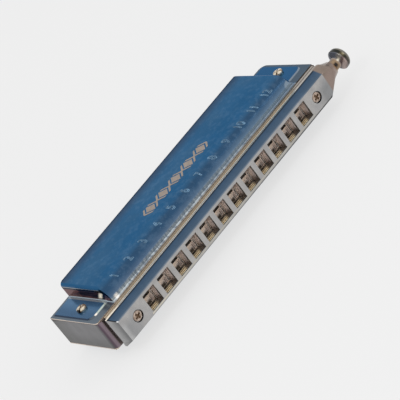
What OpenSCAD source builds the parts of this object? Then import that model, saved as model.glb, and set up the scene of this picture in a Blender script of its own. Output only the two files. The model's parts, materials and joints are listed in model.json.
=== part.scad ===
// Twelve-hole chromatic harmonica: two pressed covers over a comb with its reed plates, and a
// sprung slide behind the mouthpiece. Lengths in millimetres, +X towards the button, -Y towards
// the player, +Z up. The origin is under the middle of the whole instrument, at the level that
// the bottom cover rests on.

/* [Holes] */
// Number of mouth holes
hole_count = 12; // [8:2:14]
// Distance between neighbouring hole centres
hole_pitch = 9.5; // [9.2:0.1:11]
// Width of each mouth hole
hole_w = 7.1; // [6:0.1:7.4]
// Height of each mouth hole
hole_h = 8.0; // [7:0.1:8.8]

/* [Mouthpiece] */
// Thickness of the mouthpiece from its lip face to the slide housing
mouth_t = 5.2; // [4.8:0.1:6.5]
// Height of the flat lip face
mouth_face_h = 10.2; // [9.6:0.1:11.5]
// Height of the mouthpiece at its base
mouth_base_h = 14.4; // [13.8:0.1:15.4]
// Depth over which the lip bevels run back
mouth_bevel = 4.1; // [3:0.1:4.4]
// Length of the lip face beyond the outermost hole pitch
mouth_face_end = 13.1; // [11:0.1:14]
// How much longer the base is than the lip face at the plain end
mouth_end_bevel = 1.3; // [0.4:0.1:2]
// Slant of the nose shoulder, from the lip face back to the base
nose_slant = 3.2; // [1:0.1:3.4]
// Length of the nose beyond the end of the comb
nose_reach = 5.5; // [4.6:0.1:8]
// Wall of the nose around its bore
nose_wall = 0.65; // [0.5:0.05:1]
// Length of the collar at the end of the nose
collar = 0.8; // [0.4:0.1:1.2]
// Distance of the nose's waist from the end of the comb
waist_x = 2.2; // [1.6:0.1:3]
// Radius of the nose's waist
waist_r = 4.0; // [3.8:0.1:4.4]
// Chamfer at the mouth of the nose bore
nose_chamfer = 0.4; // [0.2:0.1:0.5]

/* [Comb] */
// Solid length of the comb beyond the outermost hole pitch, at each end
comb_end = 17.4; // [16:0.1:22]
// Depth of the comb from front to rear
comb_depth = 33.45; // [33.2:0.05:38]
// Thickness of the comb
comb_h = 13.6; // [13:0.1:14.4]
// Thickness of the web between the upper and lower cells
comb_web = 1.2; // [0.8:0.1:2]
// Thickness of the wall between neighbouring cells
cell_wall = 1.5; // [1:0.1:2]
// Thickness of the comb's front wall, which the ports pierce
front_wall = 1.5; // [1.3:0.1:2.2]
// Height of the ports in the front wall
port_h = 4.6; // [4:0.1:4.8]
// Length of the cells beyond the riveted pads
cell_over = 1.0; // [0.4:0.1:1.6]
// Radius of the front left corner
corner_front_r = 2.8; // [1:0.1:4]
// Radius of the rear right corner
corner_rear_r = 3.4; // [1:0.1:4.5]

/* [Reed plates] */
// Thickness of the reed plates
plate_t = 0.9; // [0.7:0.05:1.1]
// Distance of the plates' ends from the comb's ends
plate_end = 9.9; // [9.4:0.1:10.6]
// Distance of the plates' front edge from the comb's front face
plate_front = 1.1; // [0.9:0.1:1.3]
// Distance of the plates' rear edge from the comb's rear face
plate_rear = 2.5; // [2:0.1:3]
// Clearance of a plate in its recess
plate_gap = 0.05; // [0.03:0.01:0.1]

/* [Reeds and valves] */
// Tongue length of the longest reed
reed_long = 17.5; // [15:0.1:17.8]
// Tongue length of the shortest reed
reed_short = 9.0; // [7:0.1:12]
// Tongue width
reed_w = 2.2; // [1.8:0.1:2.4]
// Tongue thickness
reed_t = 0.2; // [0.1:0.05:0.3]
// Length of the riveted pad
pad_l = 3.0; // [2.4:0.1:3.2]
// Width of the riveted pad
pad_w = 2.8; // [2.4:0.1:3]
// Thickness of the riveted pad
pad_t = 0.4; // [0.3:0.05:0.6]
// Distance of every reed tip from the comb's front face
reed_tip = 4.0; // [3.4:0.1:4.4]
// Clearance of a tongue in its slot
slot_gap = 0.06; // [0.04:0.01:0.1]
// Radius of a rivet's shank
rivet_r = 0.6; // [0.5:0.05:0.7]
// Radius of a rivet's head
rivet_head_r = 0.95; // [0.8:0.05:1.1]
// Height of a rivet's head
rivet_head_h = 0.25; // [0.2:0.05:0.4]
// Width of a valve strip
valve_w = 3.2; // [2.9:0.1:3.4]
// Thickness of a valve strip
valve_t = 0.15; // [0.1:0.05:0.2]
// Length of a valve beyond the reed tip, and over the rivet
valve_over = 0.7; // [0.5:0.1:1]

/* [Slide] */
// Travel of the slide
travel = 4.0; // [3.8:0.1:4.2]
// Width of each slide window
window_w = 3.6; // [3:0.1:3.7]
// Height of each slide window
window_h = 4.4; // [3.8:0.1:4.6]
// Height of the bar between the upper and lower windows
window_bar = 0.5; // [0.4:0.1:0.8]
// Distance of the windows' centres from the hole centres
window_shift = 1.0; // [0.7:0.1:1.2]
// Thickness of the slide
slide_t = 0.65; // [0.5:0.05:0.8]
// Height of the slide
slide_h = 10.6; // [10.4:0.1:11]
// Length of the slide beyond the left mouthpiece screw
slide_over = 1.6; // [1.3:0.1:2]
// Height of the tab that carries the button
tab_h = 3.4; // [3:0.1:3.6]
// Running clearance around the slide, in thickness and in height
run_gap = 0.05; // [0.04:0.01:0.08]
// Thickness of the housing's front wall
housing_t = 0.5; // [0.4:0.05:0.8]
// Thickness of the back plate
back_t = 1.0; // [0.8:0.05:1.2]
// How far the housing's rails stay below the plates' edges
rail_inset = 0.3; // [0.1:0.05:0.6]
// Thickness of the buffer that stops the slide
buffer_t = 0.7; // [0.5:0.1:1]
// Wall of the housing beyond the buffer
housing_end = 1.2; // [0.8:0.1:1.6]
// Distance of the spring's seat from the end of the lip face
spring_seat = 1.4; // [1:0.1:1.6]
// Wall between the slide's cavity and the spring's seat
seat_wall = 0.5; // [0.4:0.1:0.8]

/* [Button] */
// Radius of the button's stem
stem_r = 2.6; // [2.4:0.05:2.8]
// Radius of the button's head
head_r = 5.0; // [4.4:0.1:5.6]
// Thickness of the head's rim
head_rim = 1.7; // [0.8:0.1:2]
// Height of the head's dome
head_dome = 2.8; // [1.4:0.1:3]
// Fillet between stem and head
stem_fillet = 0.8; // [0.5:0.1:1]
// Gap left between the head and the nose when the button is pressed home
press_gap = 0.35; // [0.3:0.05:0.6]
// Guided length of the stem inside the nose at rest
stem_guide = 2.3; // [1.8:0.1:2.4]
// Wire diameter of the return spring
spring_wire = 0.34; // [0.3:0.02:0.36]
// Number of turns of the return spring
spring_turns = 4; // [3:1:4]

/* [Covers] */
// Thickness of the cover sheet
sheet = 0.5; // [0.4:0.05:0.6]
// Height of the top cover's crown above the comb
top_crown_h = 7.5; // [7:0.1:9]
// Height of the bottom cover's crown below the comb
bottom_crown_h = 6.1; // [6.1:0.1:9]
// Radius of the crown's front roll
crown_roll = 6.0; // [5:0.1:6.1]
// Radius of the crown's end edges
crown_edge = 1.6; // [1:0.1:2]
// Length of the left ear, from the comb's end to the crown
ear_left = 12.05; // [11:0.05:13]
// Length of the right ear
ear_right = 13.4; // [12:0.05:14]
// Distance of the crown's foot from the comb's front face
crown_foot = 1.95; // [1.7:0.05:2.6]
// Distance of the cover's front edge from the comb's front face
cover_front = 0.95; // [0.6:0.05:1]
// Height of the lip turned down along the rear edge
rear_lip = 1.0; // [0.9:0.1:1.6]
// Height of the raised panel on each ear
emboss = 0.45; // [0.2:0.05:0.6]
// Margin around the raised panels
ear_border = 1.4; // [1:0.1:2]
// Margin in front of the raised panels, from the comb's front face
ear_front = 5.75; // [5:0.05:7]
// Radius of the raised panels' front corner
ear_r = 3.0; // [1:0.1:4]

/* [Screws] */
// Shank radius of the cover screws
cover_screw_r = 1.1; // [0.9:0.05:1.2]
// Head radius of the cover screws
cover_head_r = 2.4; // [2.1:0.1:2.7]
// Distance of the left cover screw from the comb's end
cover_screw_left = 6.1; // [6:0.1:7]
// Distance of the right cover screw from the comb's end
cover_screw_right = 5.9; // [5.2:0.1:6]
// Distance of both cover screws from the comb's front face
cover_screw_y = 16.8; // [15:0.1:20]
// Width across the flats of a cover nut
nut_flats = 4.4; // [4:0.1:4.8]
// Height of a cover nut
nut_h = 1.6; // [1.2:0.1:2]
// Shank radius of the mouthpiece screws
mouth_screw_r = 1.1; // [0.9:0.05:1.2]
// Head radius of the mouthpiece screws
mouth_head_r = 2.25; // [2:0.05:2.4]
// Distance of the mouthpiece screws beyond the outermost hole pitch
mouth_screw_out = 5.1; // [4.8:0.1:5.6]
// Length of the mouthpiece screws' thread in the comb
mouth_screw_l = 8.0; // [5:0.5:12]
// Shank radius of the plate screws
plate_screw_r = 0.8; // [0.6:0.05:0.9]
// Distance of the outer plate screws beyond the outermost hole pitch
plate_screw_out = 1.6; // [1.4:0.1:2]
// Hole pitches from the middle of the plate to its inner screws
plate_screw_pitches = 2; // [1:1:4]
// Distance of the plate screws from the plate's long edges
plate_screw_in = 3.4; // [3:0.1:3.6]
// Head radius of the plate screws
plate_head_r = 1.5; // [1.3:0.1:1.7]
// Length of the plate screws under the head
plate_screw_l = 3.2; // [2.5:0.1:4]
// Height of every screw head
head_h = 0.9; // [0.7:0.05:1]
// Width and depth of every screwdriver slot
slot_w = 0.6; // [0.4:0.05:0.7]
// Angle of the cover screws' slots to the length
slot_turn = 35; // [0:5:90]
// Clearance between a screw and its hole
screw_gap = 0.05; // [0.03:0.01:0.1]
// Clearance around a screw head in its recess
head_gap = 0.35; // [0.2:0.05:0.4]

/* [Hidden] */
$fn = 48;

// A cut runs this far past the face it opens
past = 0.5;

// Levels from front to rear, counted from the lip face
slide_y = mouth_t + housing_t + run_gap;
back_y = slide_y + slide_t + run_gap;
comb_y = back_y + back_t;
rear_y = comb_y + comb_depth;
slide_mid_y = slide_y + slide_t / 2;

// Levels from left to right, counted from the middle of the row of holes
row_half = hole_count * hole_pitch / 2;
comb_x = row_half + comb_end;
screw_x = row_half + mouth_screw_out;
face_x = row_half + mouth_face_end;
base_left_x = face_x + mouth_end_bevel;
base_right_x = face_x + nose_slant;
nose_x = comb_x + nose_reach;

// Levels up from the middle of the comb
comb_top = comb_h / 2;
plate_low = comb_top - plate_t;
flange_top = comb_top + sheet;
panel_top = flange_top + emboss;
base_half = mouth_base_h / 2;
slide_half = slide_h / 2;
rail_half = base_half - rail_inset;

// The slide and what it runs in
cavity_y = slide_y - run_gap;
slide_left_x = screw_x + mouth_screw_r + slide_over;
cavity_left_x = slide_left_x + travel + run_gap + buffer_t;
housing_left_x = cavity_left_x + housing_end;
spring_seat_x = face_x + spring_seat;
cavity_right_x = spring_seat_x - seat_wall;
slide_right_x = cavity_right_x - run_gap;
housing_right_x = base_right_x;
window_z = (window_h + window_bar) / 2;

// The button and its spring
bore_r = stem_r + run_gap;
nose_r = bore_r + nose_wall;
stem_in_x = nose_x - stem_guide;
head_x = nose_x + travel + press_gap;
tab_x = head_x - stem_fillet;
button_end_x = head_x + head_rim + head_dome;
spring_r = (tab_h / 2 + stem_r) / 2 + run_gap;

// Reeds and cells
cell_w = hole_pitch - cell_wall;
cell_y = comb_y + front_wall;
reed_dx = cell_w / 4;
tip_y = comb_y + reed_tip;
cell_floor = comb_web / 2;

// The covers
cover_y = comb_y + cover_front;
crown_y = comb_y + crown_foot;
crown_left_x = comb_x - ear_left;
crown_right_x = comb_x - ear_right;

// Screw places
cover_screws_at = [[-comb_x + cover_screw_left, comb_y + cover_screw_y],
    [comb_x - cover_screw_right, comb_y + cover_screw_y]];
plate_screw_x = row_half + plate_screw_out;
plate_screw_front = comb_y + plate_front + plate_screw_in;
plate_screw_rear = rear_y - plate_rear - plate_screw_in;
plate_screws_at = [for (side = [-1, 1]) each
    [[side * plate_screw_x, plate_screw_front], [side * plate_screw_x, plate_screw_rear],
     [side * plate_screw_pitches * hole_pitch, plate_screw_rear]]];

function hole_x(i) = (i - (hole_count - 1) / 2) * hole_pitch;
function reed_l(i) = reed_long - (reed_long - reed_short) * i / (hole_count - 1);
function pad_y(i) = tip_y + reed_l(i);
function rivet_y(i) = pad_y(i) + pad_l / 2;

// Points of an arc, in degrees
function arc(centre, r, from, to, steps = 12) =
    [for (i = [0:steps]) let (a = from + (to - from) * i / steps) centre + r * [cos(a), sin(a)]];

// Moves the middle of the comb to its place over the origin
module place() {
    translate([-(button_end_x - comb_x) / 2, -rear_y / 2, comb_top + bottom_crown_h]) children();
}

module under() {
    mirror([0, 0, 1]) children();
}

// A box from its lowest to its highest corner
module block(low, high) {
    translate(low) cube(high - low);
}

// Extrudes an outline drawn in Y and Z along X
module along_x(from, to) {
    translate([from, 0, 0]) rotate([90, 0, 90]) linear_extrude(to - from) children();
}

// Extrudes an outline drawn in X and Z along Y
module along_y(from, to) {
    translate([0, to, 0]) rotate([90, 0, 0]) linear_extrude(to - from) children();
}

// A cylinder along X, from one end to the other, about a point in Y and Z
module rod_x(from, to, r, y, z = 0) {
    translate([from, y, z]) rotate([0, 90, 0]) cylinder(h = to - from, r = r);
}

// A cylinder along Y
module rod_y(from, to, r, x, z = 0) {
    translate([x, from, z]) rotate([-90, 0, 0]) cylinder(h = to - from, r = r);
}

// The waste outside a rounded corner, with the corner at the origin
module corner_waste(r) {
    difference() {
        translate([-past, -past]) square(r + past);
        translate([r, r]) circle(r);
    }
}

// Plan of the comb
module comb_outline() {
    difference() {
        translate([-comb_x, comb_y]) square([2 * comb_x, comb_depth]);
        translate([-comb_x, comb_y]) corner_waste(corner_front_r);
        translate([comb_x, rear_y]) rotate(180) corner_waste(corner_rear_r);
    }
}

// Plan of a reed plate, or of its recess when grown by the clearance
module plate_outline(grow = 0) {
    low = [-comb_x + plate_end - grow, comb_y + plate_front - grow];
    high = [comb_x - plate_end + grow, rear_y - plate_rear + grow];
    translate(low) square(high - low);
}

// Upper half of what is cut from the comb
module comb_cuts() {
    translate([0, 0, plate_low]) linear_extrude(plate_t + past) plate_outline(plate_gap);
    for (i = [0:hole_count - 1]) {
        x = hole_x(i);
        block([x - cell_w / 2, cell_y, cell_floor],
            [x + cell_w / 2, pad_y(i) + pad_l + cell_over, plate_low + past]);
        block([x - hole_w / 2, comb_y - past, cell_floor],
            [x + hole_w / 2, cell_y + past, cell_floor + port_h]);
    }
    for (at = plate_screws_at)
        translate([at[0], at[1], plate_low - plate_screw_l])
            cylinder(h = plate_screw_l + past, r = plate_screw_r + screw_gap);
}

module comb() place() color("#8d8b8a") difference() {
    translate([0, 0, -comb_top]) linear_extrude(comb_h) comb_outline();
    comb_cuts();
    under() comb_cuts();
    for (side = [-1, 1])
        rod_y(comb_y - past, comb_y + mouth_screw_l + past, mouth_screw_r + screw_gap, side * screw_x);
    for (at = cover_screws_at)
        translate([at[0], at[1], -comb_top - past])
            cylinder(h = comb_h + 2 * past, r = cover_screw_r + screw_gap);
    rod_x(spring_seat_x, comb_x + past, bore_r + run_gap, slide_mid_y);
}

module reed_plate() difference() {
    translate([0, 0, plate_low]) linear_extrude(plate_t) plate_outline();
    for (i = [0:hole_count - 1], side = [-1, 1]) {
        x = hole_x(i) + side * reed_dx;
        half = reed_w / 2 + slot_gap;
        block([x - half, tip_y - slot_gap, plate_low - past], [x + half, pad_y(i), comb_top + past]);
        translate([x, rivet_y(i), plate_low - past]) cylinder(h = plate_t + 2 * past, r = rivet_r);
    }
    for (at = plate_screws_at)
        translate([at[0], at[1], plate_low - past])
            cylinder(h = plate_t + 2 * past, r = plate_screw_r + screw_gap);
}

// A tongue with its riveted pad, lying on the plane z = 0
module reed(i) difference() {
    union() {
        block([-reed_w / 2, tip_y, 0], [reed_w / 2, pad_y(i) + past, reed_t]);
        block([-pad_w / 2, pad_y(i), 0], [pad_w / 2, pad_y(i) + pad_l, pad_t]);
    }
    translate([0, rivet_y(i), -past]) cylinder(h = pad_t + 2 * past, r = rivet_r);
}

// Draw reeds lie on the plate's outer face, blow reeds on the face towards the cells
module draw_reeds() for (i = [0:hole_count - 1])
    translate([hole_x(i) + reed_dx, 0, comb_top]) reed(i);

module blow_reeds() for (i = [0:hole_count - 1])
    translate([hole_x(i) - reed_dx, 0, plate_low]) under() reed(i);

module reed_rivets() for (i = [0:hole_count - 1]) {
    translate([hole_x(i) + reed_dx, rivet_y(i), plate_low]) {
        cylinder(h = plate_t + pad_t, r = rivet_r);
        translate([0, 0, plate_t + pad_t]) cylinder(h = rivet_head_h, r = rivet_head_r);
    }
    translate([hole_x(i) - reed_dx, rivet_y(i), plate_low - pad_t]) {
        cylinder(h = plate_t + pad_t, r = rivet_r);
        translate([0, 0, -rivet_head_h]) cylinder(h = rivet_head_h, r = rivet_head_r);
    }
}

// A valve strip over a slot, lying on the plane z = 0
module valve(i) {
    block([-valve_w / 2, tip_y - valve_over, 0],
        [valve_w / 2, rivet_y(i) + rivet_r + valve_over, valve_t]);
}

module outer_valves() for (i = [0:hole_count - 1])
    translate([hole_x(i) - reed_dx, 0, comb_top]) valve(i);

module inner_valves() for (i = [0:hole_count - 1])
    translate([hole_x(i) + reed_dx, 0, plate_low]) under() valve(i);

// A slotted screw with its head's seat on the plane z = 0 and its shank below
module screw(r, length, head) {
    translate([0, 0, -length]) cylinder(h = length, r = r);
    difference() {
        cylinder(h = head_h, r = head);
        block([-head - past, -slot_w / 2, head_h - slot_w], [head + past, slot_w / 2, head_h + past]);
    }
}

module plate_screws() for (at = plate_screws_at)
    translate([at[0], at[1], comb_top]) screw(plate_screw_r, plate_t + plate_screw_l, plate_head_r);

// Plan of the windows in the back plate or slide, moved along X, in one row
module window_row(shift, z) {
    for (i = [0:hole_count - 1])
        translate([hole_x(i) + window_shift + shift - window_w / 2, z - window_h / 2])
            square([window_w, window_h]);
}

// Outline of the slide's plates in X and Z
module plate_face() {
    translate([-housing_left_x, -base_half]) square([housing_left_x + housing_right_x, mouth_base_h]);
}

// The pocket for stem and spring, open towards the nose
module spring_pocket() {
    rod_x(spring_seat_x, housing_right_x + past, bore_r + run_gap, slide_mid_y);
}

module mouth_screw_holes(from, to) {
    for (side = [-1, 1]) rod_y(from, to, mouth_screw_r + screw_gap, side * screw_x);
}

module slide_back_plate() place() color("#a8926f") difference() {
    along_y(back_y, comb_y) difference() {
        plate_face();
        window_row(0, window_z);
        window_row(0, -window_z);
    }
    mouth_screw_holes(back_y - past, comb_y + past);
    spring_pocket();
}

// Front wall with the mouth holes, and a frame around the slide's cavity
module slide_housing() place() color("#bfae93") difference() {
    union() {
        along_y(mouth_t, cavity_y) plate_face();
        along_y(cavity_y, back_y)
            translate([-housing_left_x, -rail_half])
                square([housing_left_x + housing_right_x, 2 * rail_half]);
    }
    block([-cavity_left_x, cavity_y, -slide_half - run_gap],
        [cavity_right_x, back_y + past, slide_half + run_gap]);
    block([cavity_right_x - past, cavity_y, -tab_h / 2 - run_gap],
        [spring_seat_x + past, back_y + past, tab_h / 2 + run_gap]);
    for (i = [0:hole_count - 1])
        block([hole_x(i) - hole_w / 2, mouth_t - past, -hole_h / 2],
            [hole_x(i) + hole_w / 2, cavity_y + past, hole_h / 2]);
    mouth_screw_holes(mouth_t - past, cavity_y + past);
    spring_pocket();
}

// A slot that lets the slide pass a mouthpiece screw
module screw_pass(x) {
    r = mouth_screw_r + screw_gap + run_gap;
    translate([x, 0]) circle(r);
    translate([x + travel, 0]) circle(r);
    translate([x, -r]) square([travel, 2 * r]);
}

module slide() place() color("#b9a58c") along_y(slide_y, slide_y + slide_t) difference() {
    union() {
        translate([-slide_left_x, -slide_half]) square([slide_left_x + slide_right_x, slide_h]);
        translate([slide_right_x - past, -tab_h / 2]) square([tab_x - slide_right_x + past, tab_h]);
    }
    window_row(0, window_z);
    window_row(travel, -window_z);
    screw_pass(-screw_x);
    screw_pass(screw_x);
}

// Half profile of the button, with its length along X and its radius along Y
function button_profile() = concat(
    [[stem_in_x, 0], [stem_in_x, stem_r]],
    arc([head_x - stem_fillet, stem_r + stem_fillet], stem_fillet, -90, 0),
    arc([head_x + head_rim / 2, head_r - head_rim / 2], head_rim / 2, 180, 90),
    dome_profile(),
    [[button_end_x, 0]]);

// The dome's arc from the rim to the axis
dome_r = (head_r * head_r + head_dome * head_dome) / (2 * head_dome);
dome_steps = 16;
function dome_profile() =
    let (half = asin((head_r - head_rim / 2) / dome_r))
    [for (i = [0:dome_steps]) let (a = half * (1 - i / dome_steps))
        [button_end_x - dome_r + dome_r * cos(a), dome_r * sin(a)]];

module slide_button() place() color("#93857b") difference() {
    translate([0, slide_mid_y, 0]) rotate([0, 90, 0]) rotate_extrude() rotate(90) mirror([0, 1])
        polygon(button_profile());
    block([stem_in_x - past, slide_y, -tab_h / 2], [tab_x, slide_y + slide_t, tab_h / 2]);
}

// The return spring is one wire wound around the tab, from the plates' ends to the stem
spring_from = spring_seat_x + spring_wire / 2 + run_gap;
spring_to = stem_in_x - spring_wire / 2 - run_gap;
spring_sides = 6;
spring_steps = 20;
spring_rings = spring_turns * spring_steps;
spring_rise = atan((spring_to - spring_from) / (360 * spring_turns) * 180 / (PI * spring_r));

function spring_point(ring, side) =
    let (turn = 360 * ring / spring_steps,
        around = 360 * side / spring_sides,
        out = spring_r + spring_wire / 2 * cos(around),
        up = spring_wire / 2 * sin(around),
        along = spring_from + (spring_to - spring_from) * ring / spring_rings)
    [along + up * cos(spring_rise),
        slide_mid_y + out * cos(turn) + up * sin(spring_rise) * sin(turn),
        out * sin(turn) - up * sin(spring_rise) * cos(turn)];

module return_spring() place() color("#77726c") polyhedron(
    points = [for (ring = [0:spring_rings], side = [0:spring_sides - 1]) spring_point(ring, side)],
    faces = concat(
        [[for (side = [0:spring_sides - 1]) side]],
        [[for (side = [spring_sides - 1:-1:0]) spring_rings * spring_sides + side]],
        [for (ring = [0:spring_rings - 1], side = [0:spring_sides - 1])
            let (a = ring * spring_sides + side,
                b = ring * spring_sides + (side + 1) % spring_sides)
            each [[b, a, a + spring_sides], [b, a + spring_sides, b + spring_sides]]]));

module slide_buffer() place() color("#2c2a28")
    block([-cavity_left_x, slide_y, -slide_half],
        [-cavity_left_x + buffer_t, slide_y + slide_t, slide_half]);

// Section of the mouthpiece in Y and Z: a lip face between two bevels, on a straight base
module mouth_section() {
    polygon([[0, -mouth_face_h / 2], [0, mouth_face_h / 2], [mouth_bevel, base_half],
        [mouth_t, base_half], [mouth_t, -base_half], [mouth_bevel, -base_half]]);
}

// Right end of the mouthpiece's plan, where the nose begins
nose_root = [[base_right_x, mouth_t], [base_right_x, mouth_bevel], [face_x, 0]];

// Plan of the mouthpiece without its nose
mouth_plan = concat([[-face_x, 0], [-base_left_x, mouth_bevel], [-base_left_x, mouth_t]], nose_root);

// The bevelled bar over a plan of it or of a part of it
module mouth_bar(plan) intersection() {
    along_x(-base_left_x, base_right_x) mouth_section();
    translate([0, 0, -base_half]) linear_extrude(mouth_base_h) polygon(plan);
}

// The nose sweeps in from the bar's slanted end over a waist to a round collar, and closes
// around the bore beyond the slide housing and the comb
nose_sides = 32;

module nose_waist() {
    rod_x(comb_x + waist_x - collar, comb_x + waist_x, waist_r, slide_mid_y, $fn = nose_sides);
}

module nose() {
    hull() {
        mouth_bar(nose_root);
        nose_waist();
    }
    hull() {
        nose_waist();
        rod_x(nose_x - collar, nose_x, nose_r, slide_mid_y, $fn = nose_sides);
    }
    difference() {
        rod_x(base_right_x + run_gap, nose_x, nose_r, slide_mid_y);
        block([base_right_x, comb_y - run_gap, -nose_r], [comb_x + run_gap, comb_y + nose_r, nose_r]);
    }
}

module mouthpiece() place() color("#a9a5a1") difference() {
    union() {
        mouth_bar(mouth_plan);
        nose();
    }
    for (i = [0:hole_count - 1])
        block([hole_x(i) - hole_w / 2, -past, -hole_h / 2],
            [hole_x(i) + hole_w / 2, mouth_t + past, hole_h / 2]);
    mouth_screw_holes(-past, mouth_t + past);
    for (side = [-1, 1]) rod_y(-past, head_h + head_gap, mouth_head_r + head_gap, side * screw_x);
    rod_x(spring_seat_x, nose_x + past, bore_r, slide_mid_y);
    translate([nose_x - nose_chamfer, slide_mid_y, 0]) rotate([0, 90, 0])
        cylinder(h = nose_chamfer + past, r1 = bore_r, r2 = bore_r + nose_chamfer + past);
}

module mouthpiece_screws() place() color("#b29c78") for (side = [-1, 1])
    translate([side * screw_x, head_h + head_gap, 0]) rotate([90, 0, 0])
        screw(mouth_screw_r, comb_y + mouth_screw_l - head_h - head_gap, mouth_head_r);

// Section of a crown in Y and Z, drawn in by the sheet's thickness for its inside
module crown_section(crown_h, in) {
    low = [crown_y + in, comb_top - in];
    high = [rear_y - in, comb_top + crown_h - in];
    difference() {
        translate(low) square(high - low);
        translate([low[0], high[1]]) rotate(-90) corner_waste(crown_roll - in);
    }
}

// Outline of a crown in X and Z, with its rounded end edges
module crown_ends(crown_h, in) {
    low = [-crown_left_x + in, comb_top - in];
    high = [crown_right_x - in, comb_top + crown_h - in];
    difference() {
        translate(low) square(high - low);
        translate([low[0], high[1]]) rotate(-90) corner_waste(crown_edge - in);
        translate(high) rotate(180) corner_waste(crown_edge - in);
    }
}

module crown(crown_h, in = 0) intersection() {
    along_x(-crown_left_x, crown_right_x) crown_section(crown_h, in);
    along_y(crown_y, rear_y) crown_ends(crown_h, in);
}

// Raised panel of an ear, from the ear's outer border to the crown
module ear_panel(side, reach, in = 0) {
    wide = reach - ear_border - in;
    deep = rear_y - comb_y - ear_front - ear_border - 2 * in;
    translate([side * (comb_x - ear_border - in), comb_y + ear_front + in]) mirror([side > 0 ? 1 : 0, 0])
        difference() {
            square([wide, deep]);
            corner_waste(ear_r - in);
        }
}

module ear_panels(in = 0) {
    ear_panel(-1, ear_left, in);
    ear_panel(1, ear_right, in);
}

module cover(crown_h) difference() {
    union() {
        translate([0, 0, comb_top]) linear_extrude(sheet) intersection() {
            comb_outline();
            translate([-comb_x, cover_y]) square([2 * comb_x, rear_y - cover_y]);
        }
        translate([0, 0, comb_top]) linear_extrude(sheet + emboss) ear_panels();
        crown(crown_h);
    }
    translate([0, 0, comb_top - past]) linear_extrude(emboss + past) ear_panels(sheet);
    crown(crown_h, sheet);
    block([-crown_left_x + sheet, rear_y - sheet - past, comb_top - past],
        [crown_right_x - sheet, rear_y + past, comb_top + crown_h - rear_lip]);
    for (at = cover_screws_at)
        translate([at[0], at[1], comb_top]) cylinder(h = panel_top, r = cover_screw_r + screw_gap);
}

module cover_screws() place() color("#c2b59b") for (at = cover_screws_at)
    translate([at[0], at[1], panel_top]) rotate(slot_turn)
        screw(cover_screw_r, 2 * panel_top + nut_h, cover_head_r);

module cover_nuts() place() color("#a08f74") for (at = cover_screws_at)
    translate([at[0], at[1], -panel_top - nut_h]) difference() {
        cylinder(h = nut_h, r = nut_flats / sqrt(3), $fn = 6);
        translate([0, 0, -past]) cylinder(h = nut_h + 2 * past, r = cover_screw_r);
    }

module top_cover() place() color("#3f6b94") cover(top_crown_h);
module bottom_cover() place() color("#3f6b94") under() cover(bottom_crown_h);
module top_reed_plate() place() color("#b8964f") reed_plate();
module bottom_reed_plate() place() color("#b8964f") under() reed_plate();
module top_draw_reeds() place() color("#cdae63") draw_reeds();
module top_blow_reeds() place() color("#cdae63") blow_reeds();
module bottom_draw_reeds() place() color("#cdae63") under() draw_reeds();
module bottom_blow_reeds() place() color("#cdae63") under() blow_reeds();
module top_reed_rivets() place() color("#9a7b3f") reed_rivets();
module bottom_reed_rivets() place() color("#9a7b3f") under() reed_rivets();
module top_outer_valves() place() color("#d9d5c8") outer_valves();
module top_inner_valves() place() color("#d9d5c8") inner_valves();
module bottom_outer_valves() place() color("#d9d5c8") under() outer_valves();
module bottom_inner_valves() place() color("#d9d5c8") under() inner_valves();
module top_plate_screws() place() color("#9b9994") plate_screws();
module bottom_plate_screws() place() color("#9b9994") under() plate_screws();

comb();
top_reed_plate();
bottom_reed_plate();
top_draw_reeds();
top_blow_reeds();
bottom_draw_reeds();
bottom_blow_reeds();
top_reed_rivets();
bottom_reed_rivets();
top_outer_valves();
top_inner_valves();
bottom_outer_valves();
bottom_inner_valves();
top_plate_screws();
bottom_plate_screws();
slide_back_plate();
slide_housing();
slide();
slide_button();
return_spring();
slide_buffer();
mouthpiece();
mouthpiece_screws();
top_cover();
bottom_cover();
cover_screws();
cover_nuts();
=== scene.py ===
# %% [markdown]
# # A chromatic harmonica on a pale table
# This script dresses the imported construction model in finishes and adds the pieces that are
# finer than the construction needs: the pressed covers, the bevelled mouthpiece, the button,
# the stamped numbers and the reeds. Every piece is made in metres in the model's own frame.

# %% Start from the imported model
import json
from math import acos, asin, atan2, cos, hypot, pi, radians, sin, sqrt
import bmesh
import bpy
import numpy as np
from mathutils import Matrix, Vector


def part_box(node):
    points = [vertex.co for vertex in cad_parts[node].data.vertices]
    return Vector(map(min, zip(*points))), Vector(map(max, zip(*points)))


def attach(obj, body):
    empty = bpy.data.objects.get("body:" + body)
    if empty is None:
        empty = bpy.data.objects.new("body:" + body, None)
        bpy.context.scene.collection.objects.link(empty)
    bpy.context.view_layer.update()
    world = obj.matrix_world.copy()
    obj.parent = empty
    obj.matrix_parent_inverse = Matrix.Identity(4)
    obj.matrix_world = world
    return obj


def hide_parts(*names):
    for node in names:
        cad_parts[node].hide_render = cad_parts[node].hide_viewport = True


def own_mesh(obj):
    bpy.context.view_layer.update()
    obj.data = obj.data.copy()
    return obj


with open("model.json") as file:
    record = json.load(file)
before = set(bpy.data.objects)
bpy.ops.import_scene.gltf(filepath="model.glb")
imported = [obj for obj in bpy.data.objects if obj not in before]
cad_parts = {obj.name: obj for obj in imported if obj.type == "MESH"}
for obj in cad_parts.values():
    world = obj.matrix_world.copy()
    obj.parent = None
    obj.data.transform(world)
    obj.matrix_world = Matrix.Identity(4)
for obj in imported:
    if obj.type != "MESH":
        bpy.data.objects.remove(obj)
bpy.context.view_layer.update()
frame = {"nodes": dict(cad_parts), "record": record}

# %% [markdown]
# ## Sizes
# The construction model is drawn in millimetres around the middle of the row of holes, so the
# same numbers are handier here than metres in the row frame. `spot` turns a point of that
# hole frame into the row frame. What must meet the construction parts is read from their boxes.

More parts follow.
